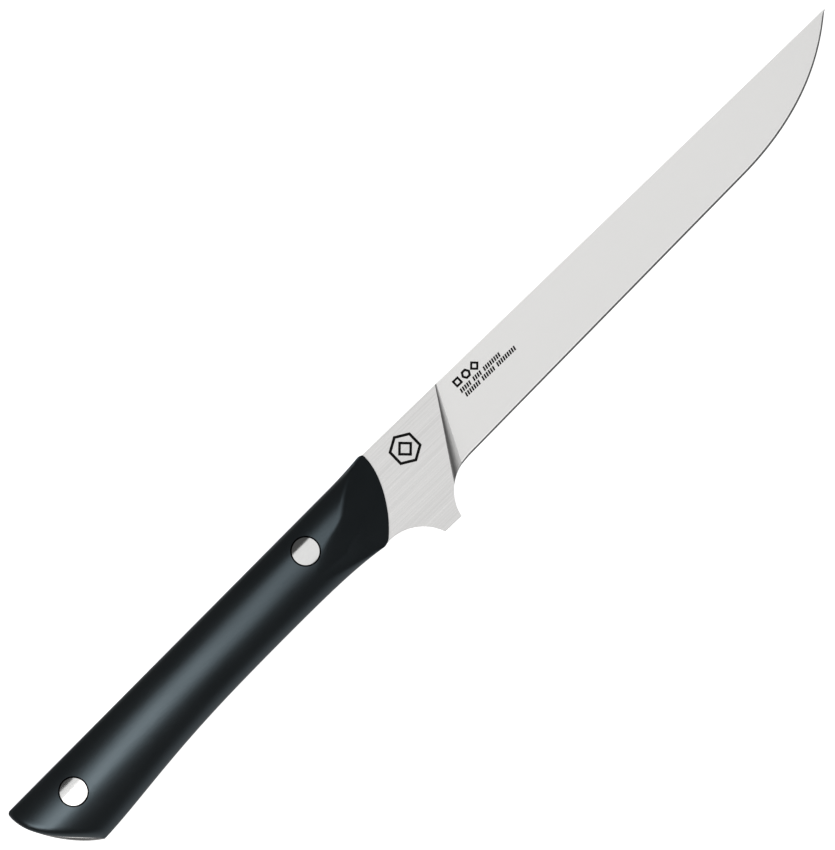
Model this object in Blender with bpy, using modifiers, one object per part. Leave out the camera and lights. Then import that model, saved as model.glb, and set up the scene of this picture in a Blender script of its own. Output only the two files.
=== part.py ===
"""Boning knife: one-piece blade and full tang, two black scales, two cutler's rivets.

Each rivet is a stud pressed into a sleeve. The knife is drawn in millimetres in the plane of
its blade: s runs along the spine towards the tip, t towards the spine, z out of the side, and
s = t = 0 is where the spine leaves the handle. An empty places that drawing in the model: the
knife lies on its left scale, +X to the tip, +Y to the spine, +Z up.
"""
import math

import bmesh
import bpy
import numpy as np

# Driving dimensions, in millimetres
BLADE_LENGTH = 165.0
HANDLE_LENGTH = 128.6
HANDLE_THICKNESS = 17.0
TANG_THICKNESS = 2.5
FIT_GAP = 0.3            # between pieces that touch

# Blade
GUARD_DROP = 28.95       # spine to the flat tip of the guard
REAR_ARC = ((-9.5, -33.15), 12.5)      # hollow behind the guard: centre and radius
FRONT_ARC = ((20.0, -31.35), 12.2)     # hollow before the guard, tangent to the edge
EDGE_START = (20.0, -19.15)
EDGE_RISE = 0.028        # slope of the straight edge towards the spine
BELLY_START = 121.0
BELLY_SQUARE = 0.00574   # the belly rises by SQUARE * x**2 + FOURTH * x**4
BELLY_FOURTH = 1.04e-6
TIP_HEIGHT = 0.35        # the blunted point
PLUNGE = ((12.3, -21.75), (26.5, 0.0))      # edge of the ricasso's flat
PLUNGE_END = ((16.2, -19.85), (27.6, 0.0))  # where its hollow runs out on the ground face
GRIND_SLOPE = 0.0503     # rise of the ground face from edge to spine
EDGE_HALF = 0.2          # half thickness behind the cutting bevel
BEVEL_WIDTH = 0.55
TANG_HEEL_T = -0.41      # back of the tang, where it meets the handle's straight back
RICASSO_S = 1.0          # the ricasso's flat starts just before the scales
RICASSO_CLEAR = 0.1
TANG_RELIEF = 0.05       # the tang's faces lie a little under the ricasso's flats

# Handle
BACK_START = -0.11       # the back is a straight line, t = BACK_START + BACK_SLOPE * s
BACK_SLOPE = 0.0212
FLARE_LENGTH = 12.0      # the scales rise a little over the spine at the front
FLARE_HEIGHT = 0.35
FRONT_S = 0.75
HEEL = (-115.0, -24.95)  # lower corner of the butt
BELLY_LINE = (HEEL, (-94.4, -23.9), (-73.9, -17.75), (-53.3, -22.25), (-32.8, -17.9), (-12.2, -20.88))
BELLY_CORNER = (-10.9, -21.15)         # rounded between the belly line and the front line
FRONT_LINE = ((-9.5, -20.2), (-3.95, -15.35), (0.86, -7.0), (0.7, -0.8))
BUTT_LINE = (HEEL, (-120.1, -18.6), (-HANDLE_LENGTH, -12.9), (-HANDLE_LENGTH, -4.2))
TANG_BUTT_LINE = (HEEL, (-120.5, -21.85), (-HANDLE_LENGTH, -11.5), (-HANDLE_LENGTH, -4.2))
BUTT_CORNER = 1.3
FRONT_CORNER = 1.65
SIDE_WALL = 1.2          # upright rim of a scale, over the tang
BARREL_POWER = 2.0       # 2 makes the crown an ellipse
BUTT_ROUND = 2.0
RAMP_START = 0.85        # scale's height at its front edge
RAMP_SLOPE = 0.53
RAMP_BLEND = (0.5, 7.0)  # radius of the blend at the back, and what it gains towards the belly
BLEND_START = 0.2        # where it starts to gain, as a share of the half width from the middle
BLEND_LEAST = 0.1        # what is left of it where the scale is thinnest
CROWN_LEAN = 0.9         # the crown leans to the back at the front
LEAN_RUN = (-52.0, -30.0)

# Rivets
RIVETS = {"front_rivet": (-26.9, -7.7), "rear_rivet": (-112.3, -10.7)}
HEAD_RADIUS = 3.55
HEAD_SEAT = 5.3          # underside of a head, from the blade's mid plane
STUD_RADIUS = 1.35
SLEEVE_RADIUS = 2.3
BORE_RADIUS = STUD_RADIUS + FIT_GAP
HEAD_BLANK = 6.0         # height of a head over its seat before it is ground flush
TURN_STEPS = 40

# Facets
BUTT_ROWS = 4            # across the butt's rounding
BODY_ROWS = 20
RAMP_ROWS = 16
RAMP_SHARE = 0.8         # share of a scale's length behind the finer rows at the ramp
CROWN_COLUMNS = 16       # even, so that the handle has a level facet to lie on

# Derived
HALF_TANG = TANG_THICKNESS / 2
TANG_FACE = HALF_TANG - TANG_RELIEF
CROWN = HANDLE_THICKNESS / 2 - HALF_TANG - SIDE_WALL
MIDDLE_S = (BLADE_LENGTH - HANDLE_LENGTH) / 2
MIDDLE_T = (FLARE_HEIGHT - GUARD_DROP) / 2
MM = 0.001
MERGE = 1e-6


def eased(value, run):
    """0 to 1 smoothly as a value passes along a run."""
    share = np.clip((value - run[0]) / (run[1] - run[0]), 0.0, 1.0)
    return share ** 2 * (3 - 2 * share)


def bezier(points, count):
    """Points along a Bezier curve of any degree."""
    curve = np.zeros((count, 2))
    degree = len(points) - 1
    u = np.linspace(0.0, 1.0, count)
    for k, point in enumerate(points):
        weight = math.comb(degree, k) * u ** k * (1 - u) ** (degree - k)
        curve += weight[:, None] * np.array(point)
    return curve


def arc(circle, start_s, end_s, count):
    """The upper half of a circle, from one s to another."""
    (s, t), radius = circle
    run = np.linspace(start_s, end_s, count)
    return np.column_stack([run, t + np.sqrt(np.maximum(radius ** 2 - (run - s) ** 2, 0.0))])


def reach(circle, t):
    """How far from its centre along s a circle reaches at a level t."""
    (_, middle), radius = circle
    return math.sqrt(radius ** 2 - (t - middle) ** 2)


def joined(*curves):
    """Curves end to end, without the points that would come twice."""
    points = [curves[0]]
    for curve in curves[1:]:
        points.append(curve[1:] if np.allclose(points[-1][-1], curve[0], atol=0.02) else curve)
    return np.vstack(points)


def resampled(curve, fractions):
    """Points of a curve at fractions of its length."""
    steps = np.hypot(*np.diff(curve, axis=0).T)
    length = np.concatenate([[0.0], np.cumsum(steps)])
    at = np.asarray(fractions) * length[-1]
    return np.column_stack([np.interp(at, length, curve[:, 0]), np.interp(at, length, curve[:, 1])])


def distance(points, curve):
    """Shortest distance from each point to a curve's points."""
    apart = points[:, None, :] - curve[None, :, :]
    return np.sqrt((apart ** 2).sum(axis=2)).min(axis=1)


# Outlines

def edge_t(s):
    """The cutting edge."""
    beyond = np.maximum(s - BELLY_START, 0.0)
    rise = BELLY_SQUARE * beyond ** 2 + BELLY_FOURTH * beyond ** 4
    straight = EDGE_START[1] + EDGE_RISE * (s - EDGE_START[0])
    return np.minimum(straight + rise, -TIP_HEIGHT)


def back_t(s):
    """The straight back of the handle."""
    return BACK_START + BACK_SLOPE * s


def butt_corner():
    """Rounded corner of butt and back, from the butt up."""
    low = BUTT_LINE[-1]
    along = -HANDLE_LENGTH + BUTT_CORNER
    return bezier([low, (low[0], back_t(low[0])), (along, back_t(along))], 9)


def flare():
    """The scale's back edge at the front, from the straight back up to the corner."""
    start = (-FLARE_LENGTH, back_t(-FLARE_LENGTH))
    middle = (-FLARE_LENGTH / 2, back_t(-FLARE_LENGTH / 2))
    return bezier([start, middle, (FRONT_S - FRONT_CORNER, FLARE_HEIGHT)], 9)


def belly_corner():
    """Rounded corner of belly and front edge, from the belly up."""
    return bezier([BELLY_LINE[-1], BELLY_CORNER, FRONT_LINE[0]], 9)


def front_corner():
    """Rounded corner of back and front edge, from the back down."""
    top = (FRONT_S - FRONT_CORNER, FLARE_HEIGHT)
    return bezier([top, (FRONT_S, FLARE_HEIGHT), FRONT_LINE[-1]], 9)


def scale_sides():
    """A scale's four sides, meeting half way round the rounded corners."""
    butt = butt_corner()
    belly = belly_corner()
    front = front_corner()
    half = len(butt) // 2
    lower = joined(bezier(BELLY_LINE, 60), belly[:half + 1])
    rear = joined(bezier(BUTT_LINE, 40), butt[:half + 1])
    fore = joined(belly[half:], bezier(FRONT_LINE, 40), front[:half - 1:-1])
    upper = joined(butt[half:], flare(), front[:half + 1])
    return lower, upper, rear, fore


def tang_outline():
    """The tang's flat, from the spine at the scale's front round the butt to the guard's root."""
    back = np.array([(RICASSO_S, 0.0), (-FLARE_LENGTH, TANG_HEEL_T)])
    rear = joined(butt_corner()[::-1], bezier(TANG_BUTT_LINE, 16)[::-1])
    return joined(back, rear, bezier(BELLY_LINE, 24))


def guard_outline():
    """The underside of ricasso and guard, from the scale's front to the plunge line's foot."""
    guard_rear = REAR_ARC[0][0] + reach(REAR_ARC, -GUARD_DROP)
    guard_fore = FRONT_ARC[0][0] - reach(FRONT_ARC, -GUARD_DROP)
    behind = arc(REAR_ARC, REAR_ARC[0][0], guard_rear, 12)
    before = arc(FRONT_ARC, guard_fore, PLUNGE[0][0], 8)
    return joined(behind, before)[:-1]


def ricasso_rear():
    """Where the ricasso's flat ends, just before the scale's front edge, from the foot up."""
    return bezier(FRONT_LINE, 8)[1:-1] + (RICASSO_CLEAR, 0.0)


# Surfaces

def scale_height(points, lower, rear, fore):
    """Height of a scale over the tang's face, at points of the drawing."""
    s, t = points.T
    foot = np.interp(s, lower[:, 0], lower[:, 1])
    middle = (back_t(s) + foot) / 2 + CROWN_LEAN * eased(s, LEAN_RUN)
    half = np.where(t > middle, back_t(s) - middle, middle - foot)
    across = np.clip((t - middle) / half, -1.0, 1.0)
    barrel = SIDE_WALL + CROWN * np.sqrt(1 - np.abs(across) ** BARREL_POWER)
    ramp = RAMP_START + RAMP_SLOPE * distance(points, fore)
    blend = RAMP_BLEND[0] + RAMP_BLEND[1] * np.clip(BLEND_START - across, 0.0, 1.0)
    least = np.minimum(barrel, ramp)
    blend = np.minimum(blend, 2 * (least - RAMP_START) + BLEND_LEAST)
    near = np.maximum(blend - np.abs(barrel - ramp), 0.0)
    height = least - near ** 2 / (4 * blend)
    height = np.maximum(height, np.minimum(SIDE_WALL, RAMP_START))
    inside = np.minimum(distance(points, rear), BUTT_ROUND)
    drop = BUTT_ROUND - np.sqrt(BUTT_ROUND ** 2 - (BUTT_ROUND - inside) ** 2)
    return height - drop * np.clip((height - SIDE_WALL) / BUTT_ROUND, 0.0, 1.0)


def spine_half(s):
    """Half thickness of the ground blade at the spine."""
    return EDGE_HALF + GRIND_SLOPE * np.maximum(-edge_t(s) - BEVEL_WIDTH, 0.0)


# Meshes

def mesh_object(name, bm, collection, parent, material=None):
    """A finished bmesh as an object under the drawing's empty."""
    bmesh.ops.recalc_face_normals(bm, faces=bm.faces)
    bmesh.ops.scale(bm, vec=(MM, MM, MM), verts=bm.verts)
    mesh = bpy.data.meshes.new(name)
    bm.to_mesh(mesh)
    bm.free()
    mesh.shade_smooth()
    mesh.set_sharp_from_angle(angle=math.radians(30))
    thing = bpy.data.objects.new(name, mesh)
    thing.parent = parent
    collection.objects.link(thing)
    if material:
        mesh.materials.append(material)
    return thing


def coons(sides, us, vs):
    """A grid of points between four sides: rows run from rear to fore, columns up."""
    lower, upper, rear, fore = sides
    low = resampled(lower, us)[:, None]
    high = resampled(upper, us)[:, None]
    left = resampled(rear, vs)[None]
    right = resampled(fore, vs)[None]
    u = np.asarray(us)[:, None, None]
    v = np.asarray(vs)[None, :, None]
    across = (1 - v) * low + v * high
    along = (1 - u) * left + u * right
    corners = (1 - u) * ((1 - v) * low[0] + v * high[0]) + u * ((1 - v) * low[-1] + v * high[-1])
    return across + along - corners


def ladder(bm, here, there):
    """Faces between two rows of vertices."""
    for k in range(len(here) - 1):
        bm.faces.new((here[k], there[k], there[k + 1], here[k + 1]))


def scale_mesh(side, inner, closed=True):
    """A scale from its inner face out, on one side of the blade."""
    sides = scale_sides()
    lower, _, rear, fore = sides
    butt = BUTT_ROUND * (1 - np.cos(np.linspace(0.0, math.pi / 2, BUTT_ROWS))) / HANDLE_LENGTH
    body = np.linspace(butt[-1], RAMP_SHARE, BODY_ROWS)
    ramp = np.linspace(RAMP_SHARE, 1.0, RAMP_ROWS)
    us = np.concatenate([butt[:-1], body, ramp[1:]])
    vs = (1 - np.cos(np.linspace(0.0, math.pi, CROWN_COLUMNS))) / 2
    grid = coons(sides, us, vs)
    rows, columns = grid.shape[:2]
    flat = grid.reshape(-1, 2)
    top = HALF_TANG + scale_height(flat, lower, rear, fore)
    bm = bmesh.new()
    outer = [bm.verts.new((s, t, side * z)) for (s, t), z in zip(flat, top)]
    outer = [outer[row * columns:(row + 1) * columns] for row in range(rows)]
    for here, there in zip(outer, outer[1:]):
        ladder(bm, here, there)
    rim = [row[0] for row in outer] + outer[-1][1:]
    rim += [row[-1] for row in outer[-2::-1]] + outer[0][-2:0:-1]
    base = [bm.verts.new((vert.co.x, vert.co.y, side * inner)) for vert in rim]
    ladder(bm, rim + rim[:1], base + base[:1])
    if closed:
        bm.faces.new(base)
    return bm


def blade_rungs():
    """Lines across the blade from edge to spine, from the plunge line to the point."""
    fractions = np.array([0.0, 0.2, 0.4, 0.6, 0.8, 1.0])
    shoulders = [0.0, 0.1, 0.25, 0.4]
    rungs = []
    for step, inset in zip((0.0, 0.25, 0.55, 1.0), shoulders):
        foot_s = PLUNGE[0][0] + step * (PLUNGE_END[0][0] - PLUNGE[0][0])
        foot = np.array([foot_s, arc(FRONT_ARC, foot_s, foot_s, 1)[0, 1]])
        head = np.array(PLUNGE[1]) + step * (np.array(PLUNGE_END[1]) - PLUNGE[1])
        rungs.append((foot, head, inset, step))
    feet = (20.0, 30.0, 44.0, 60.0, 80.0, 100.0, 121.0)
    heads = (30.5, 38.0, 50.0, 64.0, 82.0, 101.0, 121.0)
    for foot_s, head_s in zip(feet, heads):
        rungs.append((np.array([foot_s, edge_t(foot_s)]), np.array([head_s, 0.0]), BEVEL_WIDTH, 1.0))
    point = np.linspace(0.0, 1.0, 14)[1:]
    for foot_s in BELLY_START + (BLADE_LENGTH - BELLY_START) * point ** 0.8:
        foot = np.array([foot_s, edge_t(foot_s)])
        rungs.append((foot, np.array([foot_s, 0.0]), min(BEVEL_WIDTH, 0.4 * -foot[1]), 1.0))
    lines = []
    for foot, head, inset, step in rungs:
        across = head - foot
        shoulder = foot + across * inset / np.hypot(*across)
        line = shoulder + fractions[:, None] * (head - shoulder)
        ground = EDGE_HALF + fractions * (spine_half(head[0]) - EDGE_HALF)
        over = HALF_TANG - ground
        hollow = over * (1 - math.sqrt(1 - (1 - step) ** 2))
        lines.append((foot, line, ground + hollow))
    return lines


def blade_mesh():
    """Half of the blade and tang, open at its mid plane."""
    bm = bmesh.new()
    rungs = []
    for foot, line, height in blade_rungs():
        edge = bm.verts.new((*foot, 0.0))
        face = [bm.verts.new((*point, z)) for point, z in zip(line, height)]
        spine = bm.verts.new((*line[-1], 0.0))
        rungs.append([edge, *face, spine])
    for here, there in zip(rungs, rungs[1:]):
        ladder(bm, here, there)
    bm.faces.new(rungs[-1])
    plunge = rungs[0]
    guard = guard_outline()
    tang = np.vstack([tang_outline(), guard[:1]])
    seam = ricasso_rear()
    tang_over = [bm.verts.new((s, t, TANG_FACE)) for s, t in tang]
    tang_under = [bm.verts.new((s, t, 0.0)) for s, t in tang]
    guard_over = [bm.verts.new((s, t, HALF_TANG)) for s, t in guard]
    guard_under = tang_under[-1:] + [bm.verts.new((s, t, 0.0)) for s, t in guard[1:]]
    seam_low = [bm.verts.new((s, t, TANG_FACE)) for s, t in seam]
    seam_high = [bm.verts.new((s, t, HALF_TANG)) for s, t in seam]
    spine_high = bm.verts.new((*tang[0], HALF_TANG))
    bm.faces.new(tang_over + seam_low)
    bm.faces.new(guard_over + plunge[1:-1] + [spine_high] + seam_high[::-1])
    low = [tang_over[-1], *seam_low, tang_over[0]]
    high = [guard_over[0], *seam_high, spine_high]
    ladder(bm, low, high)
    ladder(bm, tang_over, tang_under)
    ladder(bm, guard_over[1:] + plunge[1:2], guard_under[1:] + plunge[:1])
    bm.faces.new((plunge[-2], spine_high, tang_over[0], tang_under[0], plunge[-1]))
    bm.faces.new((guard_over[1], guard_over[0], tang_over[-1], tang_under[-1], guard_under[1]))
    return bm


def turned(name, place, profile, collection, parent, material=None):
    """A solid turned about an axis across the blade: its profile runs down the outer side."""
    mesh = bpy.data.meshes.new(name)
    points = [(radius * MM, 0.0, height * MM) for radius, height in profile]
    mesh.from_pydata(points, [(k, k + 1) for k in range(len(points) - 1)], [])
    if material:
        mesh.materials.append(material)
    thing = bpy.data.objects.new(name, mesh)
    thing.parent = parent
    thing.location = (place[0] * MM, place[1] * MM, 0.0)
    collection.objects.link(thing)
    screw = thing.modifiers.new("turn", "SCREW")
    screw.steps = screw.render_steps = TURN_STEPS
    screw.use_merge_vertices = True
    screw.merge_threshold = MERGE
    return thing


def mirrored(thing):
    """The other half of a mesh that is open at the blade's mid plane."""
    mirror = thing.modifiers.new("both_sides", "MIRROR")
    mirror.use_axis = (False, False, True)
    mirror.merge_threshold = MERGE


def boolean(thing, cutter, operation):
    """A Boolean modifier with the exact solver."""
    modifier = thing.modifiers.new(cutter.name, "BOOLEAN")
    modifier.operation = operation
    modifier.solver = "EXACT"
    modifier.object = cutter


def plain_material(name, colour, metallic, roughness):
    """A Principled BSDF in one colour."""
    material = bpy.data.materials.new(name)
    material.use_nodes = True
    shader = material.node_tree.nodes["Principled BSDF"]
    shader.inputs["Base Color"].default_value = (*colour, 1.0)
    shader.inputs["Metallic"].default_value = metallic
    shader.inputs["Roughness"].default_value = roughness
    return material


def rivet_hole(rivet, place, cutters, frame):
    """What is drilled and counterbored through both scales and the tang for one rivet."""
    head = HEAD_RADIUS + FIT_GAP
    shank = SLEEVE_RADIUS + FIT_GAP
    seat = HEAD_SEAT - FIT_GAP
    profile = [(0.0, HANDLE_THICKNESS), (head, HANDLE_THICKNESS), (head, seat), (shank, seat),
               (shank, -seat), (head, -seat), (head, -HANDLE_THICKNESS), (0.0, -HANDLE_THICKNESS)]
    return turned(rivet + "_hole", place, profile, cutters, frame)


def build_blade(holes, parts, frame, steel):
    """Blade, guard and tang: one forging, with a hole for each rivet."""
    blade = mesh_object("blade", blade_mesh(), parts, frame, steel)
    mirrored(blade)
    for hole in holes:
        boolean(blade, hole, "DIFFERENCE")


def build_scale(name, side, holes, parts, frame, plastic):
    """One scale, counterbored for the rivet heads."""
    scale = mesh_object(name, scale_mesh(side, TANG_FACE + FIT_GAP), parts, frame, plastic)
    for hole in holes:
        boolean(scale, hole, "DIFFERENCE")


def build_rivet(rivet, place, handle, parts, frame, polished):
    """A stud from the right side, pressed into a sleeve from the left, ground flush."""
    blank = HEAD_SEAT + HEAD_BLANK
    stud_end = HEAD_SEAT - FIT_GAP
    stud = [(0.0, blank), (HEAD_RADIUS, blank), (HEAD_RADIUS, HEAD_SEAT),
            (STUD_RADIUS, HEAD_SEAT), (STUD_RADIUS, -stud_end), (0.0, -stud_end)]
    sleeve = [(0.0, -HEAD_SEAT), (BORE_RADIUS, -HEAD_SEAT), (BORE_RADIUS, stud_end),
              (SLEEVE_RADIUS, stud_end), (SLEEVE_RADIUS, -HEAD_SEAT),
              (HEAD_RADIUS, -HEAD_SEAT), (HEAD_RADIUS, -blank), (0.0, -blank)]
    for half, profile in (("stud", stud), ("sleeve", sleeve)):
        piece = turned(f"{rivet}_{half}", place, profile, parts, frame, polished)
        boolean(piece, handle, "INTERSECT")


def main():
    for thing in list(bpy.data.objects):
        bpy.data.objects.remove(thing)
    parts = bpy.data.collections.new("boning_knife")
    cutters = bpy.data.collections.new("cutters")
    for collection in (parts, cutters):
        bpy.context.scene.collection.children.link(collection)
    frame = bpy.data.objects.new("drawing_frame", None)
    frame.location = (-MIDDLE_S * MM, -MIDDLE_T * MM, HANDLE_THICKNESS / 2 * MM)
    parts.objects.link(frame)
    steel = plain_material("satin_steel", (0.52, 0.52, 0.51), 1.0, 0.32)
    plastic = plain_material("black_plastic", (0.012, 0.013, 0.014), 0.0, 0.38)
    polished = plain_material("polished_steel", (0.62, 0.62, 0.61), 1.0, 0.18)
    handle = mesh_object("handle_blank", scale_mesh(1, 0.0, closed=False), cutters, frame)
    mirrored(handle)
    holes = [rivet_hole(rivet, place, cutters, frame) for rivet, place in RIVETS.items()]
    build_blade(holes, parts, frame, steel)
    build_scale("scale_right", 1, holes, parts, frame, plastic)
    build_scale("scale_left", -1, holes, parts, frame, plastic)
    for rivet, place in RIVETS.items():
        build_rivet(rivet, place, handle, parts, frame, polished)
    for cutter in cutters.objects:
        cutter.hide_render = True
        cutter.display_type = "WIRE"


main()
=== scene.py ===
"""The looks of the boning knife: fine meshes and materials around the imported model.

The knife is drawn in millimetres in the plane of its blade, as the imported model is: s runs along
the spine towards the tip, t towards the spine, z out of the right side, and s = t = z = 0 is
where the spine leaves the handle, half way through the blade.
"""
import math

import bmesh
import bpy
import numpy as np
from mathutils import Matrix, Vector


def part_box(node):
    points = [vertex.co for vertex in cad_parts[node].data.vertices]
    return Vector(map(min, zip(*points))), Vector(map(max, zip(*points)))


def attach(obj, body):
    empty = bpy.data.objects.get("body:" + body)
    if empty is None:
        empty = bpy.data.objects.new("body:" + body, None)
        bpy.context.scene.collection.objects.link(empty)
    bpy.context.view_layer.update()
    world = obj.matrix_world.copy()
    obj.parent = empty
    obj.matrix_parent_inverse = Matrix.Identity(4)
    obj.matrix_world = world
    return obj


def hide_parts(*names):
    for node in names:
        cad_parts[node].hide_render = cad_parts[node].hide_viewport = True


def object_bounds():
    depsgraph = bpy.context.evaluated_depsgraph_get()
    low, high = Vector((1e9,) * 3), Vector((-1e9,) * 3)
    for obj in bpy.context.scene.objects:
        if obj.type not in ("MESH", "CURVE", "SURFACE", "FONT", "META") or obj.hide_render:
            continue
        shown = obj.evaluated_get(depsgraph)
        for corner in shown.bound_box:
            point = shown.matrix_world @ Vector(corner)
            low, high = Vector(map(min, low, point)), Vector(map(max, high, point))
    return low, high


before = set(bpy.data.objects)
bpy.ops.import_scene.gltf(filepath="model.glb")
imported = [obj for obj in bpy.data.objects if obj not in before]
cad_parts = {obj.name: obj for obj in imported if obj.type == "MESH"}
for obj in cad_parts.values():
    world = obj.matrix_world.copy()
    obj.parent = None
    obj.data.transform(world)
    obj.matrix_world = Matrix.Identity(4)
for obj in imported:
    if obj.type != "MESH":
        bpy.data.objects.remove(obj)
cad_low, cad_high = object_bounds()

MM = 0.001
MERGE = 1e-7             # metres
SAME_VERT = 1e-4         # millimetres, between two of the drawing's vertices
SAME_END = 0.02          # and between the ends of two curves

# The drawing's place, and the rivets' places and size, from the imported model
blade_low, blade_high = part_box("blade")
BLADE_LENGTH = 165.0
ORIGIN = Vector((blade_high.x - BLADE_LENGTH * MM, blade_high.y, (blade_low.z + blade_high.z) / 2))
HALF_HANDLE = (cad_high.z - cad_low.z) / MM / 2
HANDLE_LENGTH = (ORIGIN.x - cad_low.x) / MM
GUARD_DROP = (ORIGIN.y - blade_low.y) / MM
HALF_TANG = (blade_high.z - blade_low.z) / MM / 2

# Blade
REAR_ARC = ((-9.5, -33.15), 12.5)
FRONT_ARC = ((20.0, -31.35), 12.2)
EDGE_START = (20.0, -19.15)
EDGE_RISE = 0.028
BELLY_START = 121.0
BELLY_SQUARE = 0.00574
BELLY_FOURTH = 1.04e-6
TIP_HEIGHT = 0.35
PLUNGE = ((12.3, -21.75), (26.5, 0.0))
PLUNGE_END = ((17.4, -19.43), (27.0, 0.0))
GRIND_SLOPE = 0.0503
EDGE_HALF = 0.2
BEVEL_WIDTH = 0.5
TANG_HEEL_T = -0.41
ARRIS = 0.16             # how far the steel's corners are broken
BUTT_DEPTH = 0.9         # how deep the tang's butt is rounded where it stands proud
PLUNGE_BEVEL = 0.4       # width of the edge bevel where the plunge hollow runs out
POINT_BEVEL = 0.4        # and near the point, as a share of the blade's depth
HIGHLIGHT_SHARE = 0.017      # share of the ground face that the painted highlight along the edge covers
FLAT, WHEEL, GROUND, HIGHLIGHT_BAND, HONED = range(5)    # the blade's finishes; one is a band painted bright as a highlight along the edge

# Lines across the blade
PLUNGE_STEPS = 12
PLUNGE_SPREAD = 1.2      # above 1 they crowd towards the plunge line
EDGE_RUNGS = 30
BELLY_RUNGS = 60
BELLY_SPREAD = 0.8       # below 1 they crowd towards the point
RUNG_LEAN = 10.5         # how far the first one after the hollow leans, at the spine
FACE_START = 0.08        # next row over the painted highlight band, as a share of the ground face
FACE_ROWS = 14
BUTT_STEPS = 6

# Handle
BACK_START = -0.11
BACK_SLOPE = 0.0212
FLARE_LENGTH = 12.0
FLARE_HEIGHT = 0.35
FRONT_S = 0.75
HEEL = (-115.0, -24.95)
BELLY_LINE = (HEEL, (-94.4, -23.9), (-73.9, -17.75), (-53.3, -22.25), (-32.8, -17.9),
              (-12.2, -20.88))
BELLY_CORNER = (-10.9, -21.15)
FRONT_LINE = ((-9.5, -20.2), (-3.95, -15.35), (0.86, -7.0), (0.7, -0.8))
BUTT_LINE = (HEEL, (-120.1, -18.6), (-HANDLE_LENGTH, -12.9), (-HANDLE_LENGTH, -4.2))
TANG_BUTT_LINE = (HEEL, (-120.5, -21.85), (-HANDLE_LENGTH, -11.5), (-HANDLE_LENGTH, -4.2))
BUTT_CORNER = 1.3
FRONT_CORNER = 1.65
SIDE_WALL = 1.2
CROWN = HALF_HANDLE - HALF_TANG - SIDE_WALL
BUTT_ROUND = 2.0
RAMP_START = 0.85        # a scale's height at its front edge
RAMP_SLOPE = 0.53
RAMP_BLEND = (0.5, 7.0)  # radius of ramp and barrel's blend at the back, and its gain to the belly
BLEND_START = 0.2        # where it starts to gain, as a share of the half width from the middle
BLEND_LEAST = 0.1        # what is left of it where the scale is thinnest
CROWN_LEAN = 0.9         # the crown leans to the back at the front
LEAN_RUN = (-52.0, -30.0)
CROWN_POWER = 2.0        # the crown is an ellipse
PEAK_POWER = 1.78        # and comes to a soft peak at the rear
PEAK_RUN = (-80.0, -115.0)
SCALE_SEAT = 0.03        # hairline between a scale and the tang

# Points along the outlines, and rows and columns of a scale
CORNER_POINTS = 17
SHORT_POINTS = 24
LINE_POINTS = 80
BUTT_ROWS = 9
BODY_ROWS = 120
RAMP_ROWS = 90
RAMP_SHARE = 0.7         # share of a scale's length behind the finer rows at the ramp
CROWN_COLUMNS = 65

# Rivets
RIVETS = ("front_rivet", "rear_rivet")
HEAD_SEAT = 5.3          # underside of a head, from the blade's mid plane
HEAD_BLANK = 6.0         # height of a head over its seat before it is ground flush
HEAD_CLEAR = 0.4         # between a rivet and its hole
STUD_RADIUS = 1.35
SLEEVE_RADIUS = 2.3
BORE_RADIUS = 1.65
RIVET_STEPS = 96

# Angles in degrees over which an edge is sharp, and over which a corner of the steel is broken
CUT_SHARP = 30.0
STEEL_SHARP = 14.0
ARRIS_SHARP = 60.0

# Etched marks: outlined shapes as (place, radius, corners, turn, line), and rows of ticks, each
# with its start, top and the number of ticks in its groups
ETCH_LIFT = 0.012        # how far the marks lie over the steel
BADGE = (9.6, -6.5)
SHAPES = (
    (BADGE, 4.4, 6, 30.0, 0.85),
    (BADGE, 2.5, 4, 0.0, 0.95),
    ((31.1, -3.5), 1.5, 4, 45.0, 0.8),
    ((34.1, -3.5), 1.4, 6, 0.0, 0.7),
    ((37.1, -3.5), 1.5, 4, 0.0, 0.8),
)
TICK_ROWS = (
    (29.9, -5.25, (5, 4, 8)),
    (30.2, -6.8, (7, 6, 9)),
)
TICK = (0.48, 1.2)       # width and height
TICK_PITCH = 0.74
TICK_SLANT = 0.3

# Materials
TONE_STOPS = (0.3, 0.7)  # where in the noise the two tones of a colour lie
SCRATCH_FINER = 2.3      # scale of the scratches' noise against the tone's
STEEL_GLOSS = (0.9, 1.15)          # spread of a steel's roughness
PLASTIC_ROUGHNESS = (0.29, 0.37)
PLASTIC_GRAIN = 2600.0
GRAIN_DEPTH = 0.000012   # metres

# Camera, floor and world, in metres
VIEW_HEIGHT = 0.2176
VIEW_MIDDLE = (0.0161, -0.00434)   # from the drawing's origin
VIEW_TURN = -44.0        # degrees
LENS_MM = 1000.0
SENSOR_MM = 36.0
CLIP_END = 50.0
FLOOR_REACH = 12.0
SKY_LEAN = (-0.1, 0.5, 1.0)        # the world fades from below up along this direction
SKY_RUN = (-0.6, 0.0)
SKY_STRENGTH = (0.42, 0.08)


# Curves

def eased(value, run):
    """0 to 1 smoothly as a value passes along a run."""
    share = np.clip((value - run[0]) / (run[1] - run[0]), 0.0, 1.0)
    return share ** 2 * (3 - 2 * share)


def bezier(points, count):
    """Points along a Bezier curve of any degree."""
    curve = np.zeros((count, 2))
    degree = len(points) - 1
    u = np.linspace(0.0, 1.0, count)
    for k, point in enumerate(points):
        weight = math.comb(degree, k) * u ** k * (1 - u) ** (degree - k)
        curve += weight[:, None] * np.array(point)
    return curve


def arc(circle, start_s, end_s, count):
    """The upper half of a circle, from one s to another."""
    (s, t), radius = circle
    run = np.linspace(start_s, end_s, count)
    return np.column_stack([run, t + np.sqrt(np.maximum(radius ** 2 - (run - s) ** 2, 0.0))])


def reach(circle, t):
    """How far from its centre along s a circle reaches at a level t."""
    (_, middle), radius = circle
    return math.sqrt(radius ** 2 - (t - middle) ** 2)


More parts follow.
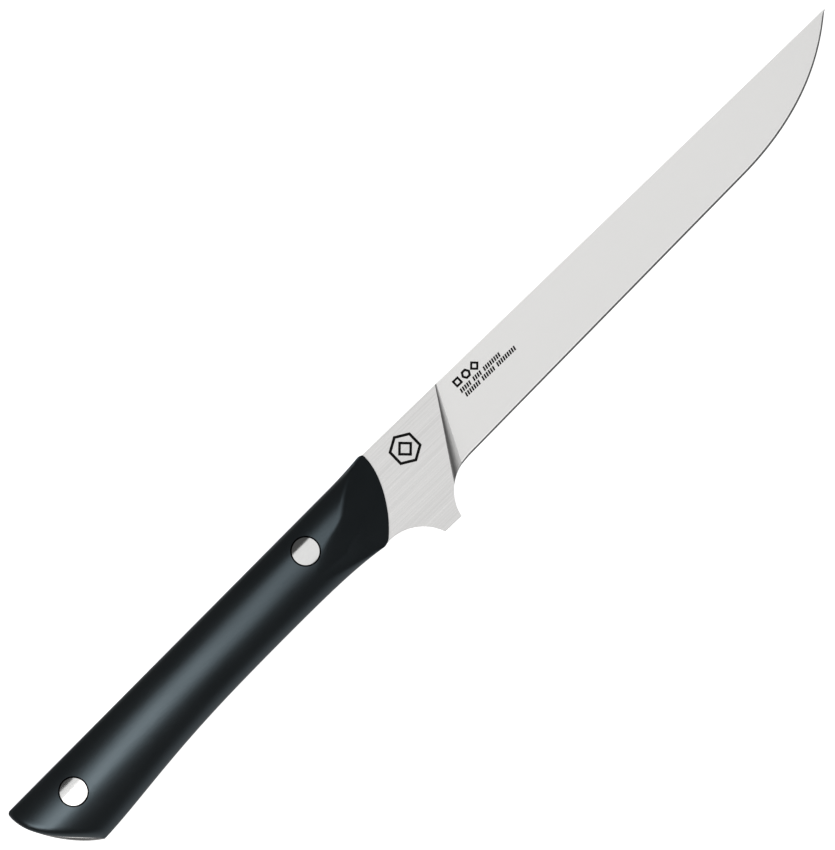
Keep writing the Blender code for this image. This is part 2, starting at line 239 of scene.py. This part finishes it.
def joined(*curves):
    """Curves end to end, without the points that would come twice."""
    points = [curves[0]]
    for curve in curves[1:]:
        points.append(curve[1:] if np.allclose(points[-1][-1], curve[0], atol=SAME_END) else curve)
    return np.vstack(points)


def resampled(curve, fractions):
    """Points of a curve at fractions of its length."""
    steps = np.hypot(*np.diff(curve, axis=0).T)
    length = np.concatenate([[0.0], np.cumsum(steps)])
    at = np.asarray(fractions) * length[-1]
    return np.column_stack([np.interp(at, length, curve[:, 0]), np.interp(at, length, curve[:, 1])])


def distance(points, curve):
    """Shortest distance from each point to the line through a curve's points."""
    nearest = np.full(len(points), np.inf)
    for start, end in zip(curve, curve[1:]):
        along = end - start
        share = np.clip((points - start) @ along / (along @ along), 0.0, 1.0)
        apart = points - start - share[:, None] * along
        nearest = np.minimum(nearest, np.hypot(*apart.T))
    return nearest


def edge_t(s):
    """The cutting edge."""
    beyond = np.maximum(s - BELLY_START, 0.0)
    rise = BELLY_SQUARE * beyond ** 2 + BELLY_FOURTH * beyond ** 4
    straight = EDGE_START[1] + EDGE_RISE * (s - EDGE_START[0])
    return np.minimum(straight + rise, -TIP_HEIGHT)


def back_t(s):
    """The straight back of the handle."""
    return BACK_START + BACK_SLOPE * s


def butt_corner():
    """Rounded corner of butt and back, from the butt up."""
    low = BUTT_LINE[-1]
    along = -HANDLE_LENGTH + BUTT_CORNER
    return bezier([low, (low[0], back_t(low[0])), (along, back_t(along))], CORNER_POINTS)


def flare():
    """The scale's back edge at the front, from the straight back up to the corner."""
    start = (-FLARE_LENGTH, back_t(-FLARE_LENGTH))
    middle = (-FLARE_LENGTH / 2, back_t(-FLARE_LENGTH / 2))
    return bezier([start, middle, (FRONT_S - FRONT_CORNER, FLARE_HEIGHT)], SHORT_POINTS)


def belly_corner():
    """Rounded corner of belly and front edge, from the belly up."""
    return bezier([BELLY_LINE[-1], BELLY_CORNER, FRONT_LINE[0]], CORNER_POINTS)


def front_corner():
    """Rounded corner of back and front edge, from the back down."""
    top = (FRONT_S - FRONT_CORNER, FLARE_HEIGHT)
    return bezier([top, (FRONT_S, FLARE_HEIGHT), FRONT_LINE[-1]], CORNER_POINTS)


def scale_sides():
    """A scale's four sides, meeting half way round the rounded corners."""
    butt = butt_corner()
    belly = belly_corner()
    front = front_corner()
    half = len(butt) // 2
    lower = joined(bezier(BELLY_LINE, 2 * LINE_POINTS), belly[:half + 1])
    rear = joined(bezier(BUTT_LINE, LINE_POINTS), butt[:half + 1])
    fore = joined(belly[half:], bezier(FRONT_LINE, LINE_POINTS), front[:half - 1:-1])
    upper = joined(butt[half:], flare(), front[:half + 1])
    return lower, upper, rear, fore


def steel_outline():
    """Tang, ricasso and guard, from the plunge line's top round to its foot.

    Two outlines: the steel's own, and one that follows the scales round the butt.
    """
    guard_rear = REAR_ARC[0][0] + reach(REAR_ARC, -GUARD_DROP)
    guard_fore = FRONT_ARC[0][0] - reach(FRONT_ARC, -GUARD_DROP)
    back = np.array([(FRONT_S, 0.0), (-FLARE_LENGTH, TANG_HEEL_T)])
    behind = arc(REAR_ARC, REAR_ARC[0][0], guard_rear, LINE_POINTS // 2)
    before = arc(FRONT_ARC, guard_fore, PLUNGE[0][0], SHORT_POINTS)

    def around(butt_line):
        """The outline with one curve of the butt or another."""
        butt = joined(butt_corner()[::-1], bezier(butt_line, LINE_POINTS // 2)[::-1])
        return joined(back, butt, bezier(BELLY_LINE, LINE_POINTS), behind, before)[:-1]

    return around(TANG_BUTT_LINE), around(BUTT_LINE)


# Surfaces

def scale_height(points, lower, rear, fore, ramped=True):
    """Height of a scale over the tang's face.

    A barrel, ramped at the front and rounded at the butt, or the bare barrel if not ramped.
    """
    s, t = points.T
    foot = np.interp(s, lower[:, 0], lower[:, 1])
    middle = (back_t(s) + foot) / 2 + CROWN_LEAN * eased(s, LEAN_RUN)
    half = np.where(t > middle, back_t(s) - middle, middle - foot)
    across = np.clip((t - middle) / half, -1.0, 1.0)
    if not ramped:
        return SIDE_WALL + CROWN * np.sqrt(1 - across ** 2)
    power = CROWN_POWER + (PEAK_POWER - CROWN_POWER) * eased(s, PEAK_RUN)
    barrel = SIDE_WALL + CROWN * (1 - np.abs(across) ** power) ** (1 / power)
    ramp = RAMP_START + RAMP_SLOPE * distance(points, fore)
    blend = RAMP_BLEND[0] + RAMP_BLEND[1] * np.clip(BLEND_START - across, 0.0, 1.0)
    least = np.minimum(barrel, ramp)
    blend = np.minimum(blend, least - RAMP_START + BLEND_LEAST)
    near = np.maximum(blend - np.abs(barrel - ramp), 0.0)
    height = least - near ** 2 / (4 * blend)
    height = np.maximum(height, np.minimum(SIDE_WALL, RAMP_START))
    inside = np.minimum(distance(points, rear), BUTT_ROUND)
    drop = BUTT_ROUND - np.sqrt(BUTT_ROUND ** 2 - (BUTT_ROUND - inside) ** 2)
    return height - drop * np.clip((height - SIDE_WALL) / BUTT_ROUND, 0.0, 1.0)


def spine_half(s):
    """Half thickness of the ground blade at the spine."""
    return EDGE_HALF + GRIND_SLOPE * np.maximum(-edge_t(s) - BEVEL_WIDTH, 0.0)


# Meshes

def ladder(bm, here, there):
    """Faces between two rows of vertices."""
    return [bm.faces.new((here[k], there[k], there[k + 1], here[k + 1]))
            for k in range(len(here) - 1)]


def linked(name, data):
    """A new object in the scene."""
    thing = bpy.data.objects.new(name, data)
    bpy.context.scene.collection.objects.link(thing)
    return thing


def mesh_object(name, bm, *materials):
    """A bmesh drawn in millimetres as an object in the model's frame."""
    bmesh.ops.recalc_face_normals(bm, faces=bm.faces)
    for vert in bm.verts:
        vert.co = vert.co * MM + ORIGIN
    mesh = bpy.data.meshes.new(name)
    bm.to_mesh(mesh)
    bm.free()
    for material in materials:
        mesh.materials.append(material)
    return linked(name, mesh)


def modifier(thing, kind, **settings):
    """A modifier with its settings."""
    made = thing.modifiers.new(kind.lower(), kind)
    for key, value in settings.items():
        setattr(made, key, value)
    return made


def applied(thing, sharp_angle):
    """The object with its modifiers applied, smooth between its sharp edges."""
    graph = bpy.context.evaluated_depsgraph_get()
    mesh = bpy.data.meshes.new_from_object(thing.evaluated_get(graph))
    thing.modifiers.clear()
    thing.data = mesh
    mesh.shade_smooth()
    mesh.set_sharp_from_angle(angle=math.radians(sharp_angle))
    return thing


def cut(thing, cutter, operation, finish=None):
    """A Boolean with the exact solver, applied at once, that may give the faces it cuts a material
    of their own, such as the bores' painted shade.
    """
    if finish:
        cutter.data.materials.clear()
        cutter.data.materials.append(finish)
    modifier(thing, "BOOLEAN", operation=operation, solver="EXACT", object=cutter,
             material_mode="TRANSFER" if finish else "INDEX")
    return applied(thing, CUT_SHARP)


def coons(sides, us, vs):
    """A grid of points between four sides: rows run from rear to fore, columns up."""
    lower, upper, rear, fore = sides
    low = resampled(lower, us)[:, None]
    high = resampled(upper, us)[:, None]
    left = resampled(rear, vs)[None]
    right = resampled(fore, vs)[None]
    u = np.asarray(us)[:, None, None]
    v = np.asarray(vs)[None, :, None]
    across = (1 - v) * low + v * high
    along = (1 - u) * left + u * right
    corners = (1 - u) * ((1 - v) * low[0] + v * high[0]) + u * ((1 - v) * low[-1] + v * high[-1])
    return across + along - corners


def scale_mesh(side, inner, closed=True, ramped=True):
    """A scale from its inner face out, on one side of the blade."""
    sides = scale_sides()
    lower, _, rear, fore = sides
    butt = BUTT_ROUND * (1 - np.cos(np.linspace(0.0, math.pi / 2, BUTT_ROWS))) / HANDLE_LENGTH
    body = np.linspace(butt[-1], RAMP_SHARE, BODY_ROWS)
    ramp = np.linspace(RAMP_SHARE, 1.0, RAMP_ROWS)
    us = np.concatenate([butt[:-1], body, ramp[1:]])
    vs = (1 - np.cos(np.linspace(0.0, math.pi, CROWN_COLUMNS))) / 2
    grid = coons(sides, us, vs)
    rows, columns = grid.shape[:2]
    flat = grid.reshape(-1, 2)
    top = HALF_TANG + scale_height(flat, lower, rear, fore, ramped)
    bm = bmesh.new()
    outer = [bm.verts.new((s, t, side * z)) for (s, t), z in zip(flat, top)]
    outer = [outer[row * columns:(row + 1) * columns] for row in range(rows)]
    for here, there in zip(outer, outer[1:]):
        ladder(bm, here, there)
    rim = [row[0] for row in outer] + outer[-1][1:]
    rim += [row[-1] for row in outer[-2::-1]] + outer[0][-2:0:-1]
    base = [bm.verts.new((vert.co.x, vert.co.y, side * inner)) for vert in rim]
    ladder(bm, rim + rim[:1], base + base[:1])
    if closed:
        bm.faces.new(base)
    return bm


def blade_rungs():
    """Lines across the blade from edge to spine, from the plunge line to the point.

    Each comes as its foot on the edge, its points up the ground face, and their heights.
    """
    fractions = np.concatenate([[0.0, HIGHLIGHT_SHARE], np.linspace(FACE_START, 1.0, FACE_ROWS)])
    rungs = []
    for step in np.linspace(0.0, 1.0, PLUNGE_STEPS + 1) ** PLUNGE_SPREAD:
        foot_s = PLUNGE[0][0] + step * (PLUNGE_END[0][0] - PLUNGE[0][0])
        foot = arc(FRONT_ARC, foot_s, foot_s, 1)[0]
        head = np.array(PLUNGE[1]) + step * (np.array(PLUNGE_END[1]) - PLUNGE[1])
        rungs.append((foot, head, PLUNGE_BEVEL * step, step))
    for share in np.linspace(0.0, 1.0, EDGE_RUNGS):
        foot_s = EDGE_START[0] + share * (BELLY_START - EDGE_START[0])
        head_s = foot_s + RUNG_LEAN * (1 - share) ** 3
        foot = np.array([foot_s, edge_t(foot_s)])
        rungs.append((foot, np.array([head_s, 0.0]), BEVEL_WIDTH, 1.0))
    for share in np.linspace(0.0, 1.0, BELLY_RUNGS)[1:] ** BELLY_SPREAD:
        foot_s = BELLY_START + (BLADE_LENGTH - BELLY_START) * share
        foot = np.array([foot_s, edge_t(foot_s)])
        bevel = min(BEVEL_WIDTH, POINT_BEVEL * -foot[1])
        rungs.append((foot, np.array([foot_s, 0.0]), bevel, 1.0))
    for foot, head, inset, step in rungs:
        across = head - foot
        shoulder = foot + across * inset / np.hypot(*across)
        line = shoulder + fractions[:, None] * (head - shoulder)
        ground = EDGE_HALF + fractions * (spine_half(head[0]) - EDGE_HALF)
        hollow = (HALF_TANG - ground) * (1 - math.sqrt(1 - (1 - step) ** 2))
        yield foot, line, ground + hollow


def blade_mesh():
    """Half of the blade and tang, open at its mid plane, with its corners marked for a bevel."""
    bm = bmesh.new()
    rungs = []
    for foot, line, height in blade_rungs():
        edge = bm.verts.new((*foot, 0.0))
        face = [bm.verts.new((*point, z)) for point, z in zip(line, height)]
        spine = bm.verts.new((*line[-1], 0.0))
        rungs.append([edge, *face, spine])
    for step, (here, there) in enumerate(zip(rungs, rungs[1:])):
        faces = ladder(bm, here, there)
        for face in faces[1:]:
            face.material_index = WHEEL if step < PLUNGE_STEPS else GROUND
        faces[0].material_index = HONED
        # the row just over the edge bevel is painted bright as a highlight
        faces[1].material_index = HIGHLIGHT_BAND if step >= PLUNGE_STEPS else WHEEL
    bm.faces.new(rungs[-1]).material_index = GROUND
    outer, inner = steel_outline()
    proud = np.hypot(*(outer - inner).T)
    depth = np.minimum(BUTT_DEPTH, 2 * proud)
    plunge = rungs[0]
    rows = []
    for turn in np.linspace(0.0, math.pi / 2, BUTT_STEPS):
        row = inner + (outer - inner) * math.sin(turn)
        height = HALF_TANG - depth * (1 - math.cos(turn))
        rows.append([bm.verts.new((*point, z)) for point, z in zip(row, height)])
    under = [bm.verts.new((s, t, 0.0)) for s, t in outer]
    bm.faces.new(rows[0] + plunge[1:-1]).material_index = FLAT
    for here, there in zip(rows, rows[1:]):
        ladder(bm, here, there)
    ladder(bm, [plunge[-2], *rows[-1], plunge[1]], [plunge[-1], *under, plunge[0]])
    butt_verts = [vert for row in rows for vert in row]
    bmesh.ops.remove_doubles(bm, verts=butt_verts, dist=SAME_VERT)
    bm.normal_update()
    weight = bm.edges.layers.float.new("bevel_weight_edge")
    for rim in bm.edges:
        if len(rim.link_faces) == 2 and rim.calc_face_angle() > math.radians(ARRIS_SHARP):
            rim[weight] = 1.0
    return bm


def crisp(mesh):
    """Sharp edges where one finish of the steel meets another, except inside the grind."""
    bm = bmesh.new()
    bm.from_mesh(mesh)
    for rim in bm.edges:
        finishes = {face.material_index for face in rim.link_faces}
        if len(finishes) == 2 and finishes != {WHEEL, GROUND}:
            rim.smooth = False
    bm.to_mesh(mesh)
    bm.free()


def turned(name, place, profile):
    """A solid turned about an axis across the blade: its profile runs down the outer side."""
    mesh = bpy.data.meshes.new(name)
    points = [(radius * MM, 0.0, height * MM) for radius, height in profile]
    mesh.from_pydata(points, [(k, k + 1) for k in range(len(points) - 1)], [])
    thing = linked(name, mesh)
    thing.location = (place[0], place[1], ORIGIN.z)
    modifier(thing, "SCREW", steps=RIVET_STEPS, render_steps=RIVET_STEPS,
             use_merge_vertices=True, merge_threshold=MERGE)
    return thing


def moulded(thing):
    """The object with its place taken into its mesh."""
    bpy.context.view_layer.update()
    thing.data.transform(thing.matrix_world)
    thing.matrix_world.identity()
    return thing


# Materials

def shader_material(name, colour, metallic, roughness, **settings):
    """A Principled BSDF and its node tree."""
    material = bpy.data.materials.new(name)
    material.use_nodes = True
    shader = material.node_tree.nodes["Principled BSDF"]
    shader.inputs["Base Color"].default_value = (*colour, 1.0)
    shader.inputs["Metallic"].default_value = metallic
    shader.inputs["Roughness"].default_value = roughness
    for key, value in settings.items():
        shader.inputs[key.replace("_", " ")].default_value = value
    return material, shader


def stretched_noise(tree, stretch, detail=3.0):
    """Noise in the model's metres, with its own scale along X, Y and Z."""
    place = tree.nodes.new("ShaderNodeTexCoord")
    mapping = tree.nodes.new("ShaderNodeMapping")
    mapping.inputs["Scale"].default_value = stretch
    noise = tree.nodes.new("ShaderNodeTexNoise")
    noise.inputs["Scale"].default_value = 1.0
    noise.inputs["Detail"].default_value = detail
    noise.inputs["Roughness"].default_value = 0.5
    tree.links.new(place.outputs["Object"], mapping.inputs["Vector"])
    tree.links.new(mapping.outputs["Vector"], noise.inputs["Vector"])
    return noise.outputs["Fac"]


def bump(tree, shader, height, distance_m):
    """Relief of a stated depth."""
    node = tree.nodes.new("ShaderNodeBump")
    node.inputs["Distance"].default_value = distance_m
    node.inputs["Strength"].default_value = 1.0
    tree.links.new(height, node.inputs["Height"])
    tree.links.new(node.outputs["Normal"], shader.inputs["Normal"])


def ranged(tree, value, low, high):
    """A 0 to 1 value spread over a range."""
    node = tree.nodes.new("ShaderNodeMapRange")
    node.inputs["To Min"].default_value = low
    node.inputs["To Max"].default_value = high
    tree.links.new(value, node.inputs["Value"])
    return node.outputs["Result"]


def two_tone(tree, shader, value, dark, light):
    """Colour that runs between two tones."""
    ramp = tree.nodes.new("ShaderNodeValToRGB")
    for stop, place, colour in zip(ramp.color_ramp.elements, TONE_STOPS, (dark, light)):
        stop.position = place
        stop.color = (*colour, 1.0)
    tree.links.new(value, ramp.inputs["Fac"])
    tree.links.new(ramp.outputs["Color"], shader.inputs["Base Color"])


def brushed_steel(name, dark, light, roughness, lines, depth):
    """Steel with fine scratches: lines is their noise's scale, and depth is in metres."""
    material, shader = shader_material(name, light, 1.0, roughness)
    tree = material.node_tree
    tone = stretched_noise(tree, lines)
    two_tone(tree, shader, tone, dark, light)
    scratch = stretched_noise(tree, tuple(SCRATCH_FINER * scale for scale in lines), detail=4.0)
    bump(tree, shader, scratch, depth)
    low, high = (roughness * share for share in STEEL_GLOSS)
    tree.links.new(ranged(tree, tone, low, high), shader.inputs["Roughness"])
    return material


def handle_plastic():
    """Black moulded acetal with a soft sheen and a very fine grain."""
    material, shader = shader_material(
        "black_acetal", (0.005, 0.005, 0.005), 0.0, 0.33, IOR=1.68, Specular_IOR_Level=0.9,
        Specular_Tint=(0.70, 0.89, 1.0, 1.0))
    tree = material.node_tree
    grain = stretched_noise(tree, (PLASTIC_GRAIN, PLASTIC_GRAIN, PLASTIC_GRAIN))
    bump(tree, shader, grain, GRAIN_DEPTH)
    wear = stretched_noise(tree, (70.0, 220.0, 220.0), detail=4.0)
    tree.links.new(ranged(tree, wear, *PLASTIC_ROUGHNESS), shader.inputs["Roughness"])
    two_tone(tree, shader, wear, (0.0055, 0.0045, 0.0045), (0.0075, 0.0065, 0.0065))
    return material


ricasso_steel = brushed_steel(
    "brushed_ricasso", (0.665, 0.66, 0.653), (0.755, 0.75, 0.743), 0.22,
    (18.0, 2600.0, 2600.0), 0.000005)
ground_steel = brushed_steel(
    "satin_blade", (0.815, 0.81, 0.80), (0.845, 0.84, 0.83), 0.21,
    (14.0, 3400.0, 3400.0), 0.000002)
wheel_steel = brushed_steel(
    "wheel_ground_hollow", (0.80, 0.795, 0.785), (0.84, 0.835, 0.825), 0.34,
    (900.0, 900.0, 900.0), 0.000002)
# A narrow band over the edge bevel, painted brighter than the blade as a highlight
painted_highlight_steel = brushed_steel(
    "painted_edge_highlight", (0.93, 0.925, 0.915), (0.96, 0.955, 0.945), 0.21,
    (14.0, 3400.0, 3400.0), 0.000002)
honed_steel = brushed_steel(
    "honed_edge", (0.93, 0.93, 0.93), (0.96, 0.96, 0.96), 0.35,
    (900.0, 900.0, 900.0), 0.000002)
rivet_steel = brushed_steel(
    "polished_rivet", (0.70, 0.70, 0.695), (0.74, 0.74, 0.735), 0.12,
    (500.0, 3000.0, 3000.0), 0.0000015)
etched_ink = shader_material(
    "dark_etch", (0.01, 0.01, 0.01), 0.0, 0.6, Specular_IOR_Level=0.1)[0]
# Near black faces that hardly reflect, for the bores round the rivets: painted shade in the gaps
bore_painted_shade = shader_material(
    "bore_painted_shade", (0.002, 0.002, 0.002), 0.0, 0.9, Specular_IOR_Level=0.05)[0]
black_plastic = handle_plastic()


# Pieces

def knife_piece(thing, node):
    """Declares a finished piece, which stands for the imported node."""
    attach(thing, "root")
    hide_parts(node)


def rivet_place(rivet):
    """A rivet's axis and head radius, from its packed stud."""
    low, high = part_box(rivet + "_stud")
    return ((low.x + high.x) / 2, (low.y + high.y) / 2), (high.x - low.x) / MM / 2


def rivet_hole(rivet):
    """What is drilled and counterbored through the handle for one rivet."""
    place, head = rivet_place(rivet)
    wide = head + HEAD_CLEAR
    narrow = SLEEVE_RADIUS + HEAD_CLEAR
    seat = HEAD_SEAT - HEAD_CLEAR
    end = 2 * HALF_HANDLE
    profile = [(0.0, end), (wide, end), (wide, seat), (narrow, seat),
               (narrow, -seat), (wide, -seat), (wide, -end), (0.0, -end)]
    return turned(rivet + "_hole", place, profile)


def make_blade(holes):
    """The blade and tang in one piece, with its finishes in the order of their numbers."""
    blade = mesh_object("blade_steel", blade_mesh(), ricasso_steel, wheel_steel, ground_steel,
                        painted_highlight_steel, honed_steel)
    modifier(blade, "MIRROR", use_axis=(False, False, True), merge_threshold=MERGE,
             mirror_object=middle)
    modifier(blade, "BEVEL", width=ARRIS * MM, segments=2, limit_method="WEIGHT")
    applied(blade, STEEL_SHARP)
    for hole in holes:
        cut(blade, hole, "DIFFERENCE")
    blade.data.set_sharp_from_angle(angle=math.radians(STEEL_SHARP))
    crisp(blade.data)
    knife_piece(blade, "blade")
    return blade


def make_scale(name, side, holes):
    """A scale on one side of the blade, its bores painted near black as shade."""
    scale = mesh_object(name, scale_mesh(side, HALF_TANG + SCALE_SEAT), black_plastic)
    for hole in holes:
        cut(scale, hole, "DIFFERENCE", bore_painted_shade)
    knife_piece(scale, f"scale_{name.split('_')[0]}")


def make_rivet(rivet, handle):
    """Stud and sleeve, their heads ground to the handle's curve."""
    place, head = rivet_place(rivet)
    blank = HEAD_SEAT + HEAD_BLANK
    end = HEAD_SEAT - HEAD_CLEAR
    stud = [(0.0, blank), (head, blank), (head, HEAD_SEAT),
            (STUD_RADIUS, HEAD_SEAT), (STUD_RADIUS, -end), (0.0, -end)]
    sleeve = [(0.0, -HEAD_SEAT), (BORE_RADIUS, -HEAD_SEAT), (BORE_RADIUS, end),
              (SLEEVE_RADIUS, end), (SLEEVE_RADIUS, -HEAD_SEAT),
              (head, -HEAD_SEAT), (head, -blank), (0.0, -blank)]
    for half, profile in (("stud", stud), ("sleeve", sleeve)):
        piece = turned(f"{rivet}_{half}_polished", place, profile)
        piece.data.materials.append(rivet_steel)
        cut(piece, handle, "INTERSECT")
        moulded(piece)
        knife_piece(piece, f"{rivet}_{half}")


def regular(place, radius, corners, turn):
    """Corners of a regular polygon."""
    angles = math.radians(turn) + np.arange(corners) * math.tau / corners
    return np.array(place) + radius * np.column_stack([np.cos(angles), np.sin(angles)])


def mark_patches():
    """Four-sided patches of generic marks: outlined shapes and rows of slanted ticks."""
    for place, radius, corners, turn, line in SHAPES:
        outer = regular(place, radius, corners, turn)
        inner = regular(place, radius - line, corners, turn)
        for k in range(corners):
            following = (k + 1) % corners
            yield outer[k], outer[following], inner[following], inner[k]
    width, height = TICK
    for start, top, groups in TICK_ROWS:
        s = start
        for count in groups:
            for _ in range(count):
                low = top - height
                high_s = s + TICK_SLANT
                yield (s, low), (s + width, low), (high_s + width, top), (high_s, top)
                s += TICK_PITCH
            s += TICK_PITCH


def make_marks(blade):
    """The etched marks, laid just over the blade's right side."""
    verts = []
    for patch in mark_patches():
        for s, t in patch:
            above = ORIGIN + Vector((s, t, HALF_HANDLE)) * MM
            steel = blade.ray_cast(above, Vector((0.0, 0.0, -1.0)))[1]
            verts.append(steel + Vector((0.0, 0.0, ETCH_LIFT * MM)))
    mesh = bpy.data.meshes.new("etched_marks")
    mesh.from_pydata(verts, [], [tuple(range(k, k + 4)) for k in range(0, len(verts), 4)])
    mesh.materials.append(etched_ink)
    knife_piece(linked("etched_marks", mesh), "blade")


middle = linked("middle", None)
middle.location = ORIGIN
bpy.context.view_layer.update()

hole_cutters = [rivet_hole(rivet) for rivet in RIVETS]
handle_blank = mesh_object("handle_blank", scale_mesh(1, 0.0, closed=False, ramped=False))
modifier(handle_blank, "MIRROR", use_axis=(False, False, True), merge_threshold=MERGE,
         mirror_object=middle)
make_marks(make_blade(hole_cutters))
make_scale("right_scale", 1, hole_cutters)
make_scale("left_scale", -1, hole_cutters)
for rivet_name in RIVETS:
    make_rivet(rivet_name, handle_blank)
for helper in (*hole_cutters, handle_blank, middle):
    bpy.data.objects.remove(helper)


# Stage, light and camera

def make_floor():
    """A pale floor that the steel doesn't mirror."""
    mesh = bpy.data.meshes.new("floor")
    signs = ((-1, -1), (1, -1), (1, 1), (-1, 1))
    corners = [(x * FLOOR_REACH, y * FLOOR_REACH, cad_low.z) for x, y in signs]
    mesh.from_pydata(corners, [], [(0, 1, 2, 3)])
    floor = linked("floor", mesh)
    material, shader = shader_material("pale_floor", (0.9, 0.9, 0.9), 0.0, 0.9)
    shader.inputs["Emission Color"].default_value = (1.0, 1.0, 1.0, 1.0)
    shader.inputs["Emission Strength"].default_value = 1.0
    mesh.materials.append(material)
    floor.visible_glossy = False
    floor.visible_diffuse = False


def softbox(name, height, low, high, radiance, colour=(1.0, 1.0, 1.0)):
    """A level area light between two corners, of a stated radiance."""
    data = bpy.data.lights.new(name, "AREA")
    data.shape = "RECTANGLE"
    data.size = high[0] - low[0]
    data.size_y = high[1] - low[1]
    data.energy = radiance * math.pi * data.size * data.size_y
    data.color = colour
    light = linked(name, data)
    light.location = ((low[0] + high[0]) / 2, (low[1] + high[1]) / 2, height)
    light.visible_camera = False


def make_camera():
    """Straight above, with the knife pointing up and to the right."""
    data = bpy.data.cameras.new("camera")
    data.lens = LENS_MM
    data.sensor_width = SENSOR_MM
    data.clip_end = CLIP_END
    camera = linked("camera", data)
    camera.location = ORIGIN + Vector((*VIEW_MIDDLE, VIEW_HEIGHT * LENS_MM / SENSOR_MM))
    camera.rotation_euler = (0.0, 0.0, math.radians(VIEW_TURN))
    bpy.context.scene.camera = camera


def make_world():
    """A white world, brighter below than above."""
    world = bpy.data.worlds.new("studio")
    world.use_nodes = True
    tree = world.node_tree
    background = tree.nodes["Background"]
    background.inputs["Color"].default_value = (1.0, 1.0, 1.0, 1.0)
    around = tree.nodes.new("ShaderNodeTexCoord")
    lean = tree.nodes.new("ShaderNodeVectorMath")
    lean.operation = "DOT_PRODUCT"
    lean.inputs[1].default_value = SKY_LEAN
    fade = tree.nodes.new("ShaderNodeMapRange")
    fade.inputs["From Min"].default_value, fade.inputs["From Max"].default_value = SKY_RUN
    fade.inputs["To Min"].default_value, fade.inputs["To Max"].default_value = SKY_STRENGTH
    tree.links.new(around.outputs["Generated"], lean.inputs[0])
    tree.links.new(lean.outputs["Value"], fade.inputs["Value"])
    tree.links.new(fade.outputs["Result"], background.inputs["Strength"])
    bpy.context.scene.world = world


make_floor()
softbox("overhead", 3.0, (-2.5, -0.64), (0.8, 1.95), 0.92)
softbox("falloff", 3.0, (0.8, -0.64), (1.9, 0.6), 0.25)
softbox("rear_strip", 0.25, (-0.45, -0.008), (-0.09, 0.094), 1.75, (1.0, 0.95, 0.92))
make_camera()
make_world()
bpy.context.scene.view_settings.view_transform = "Standard"
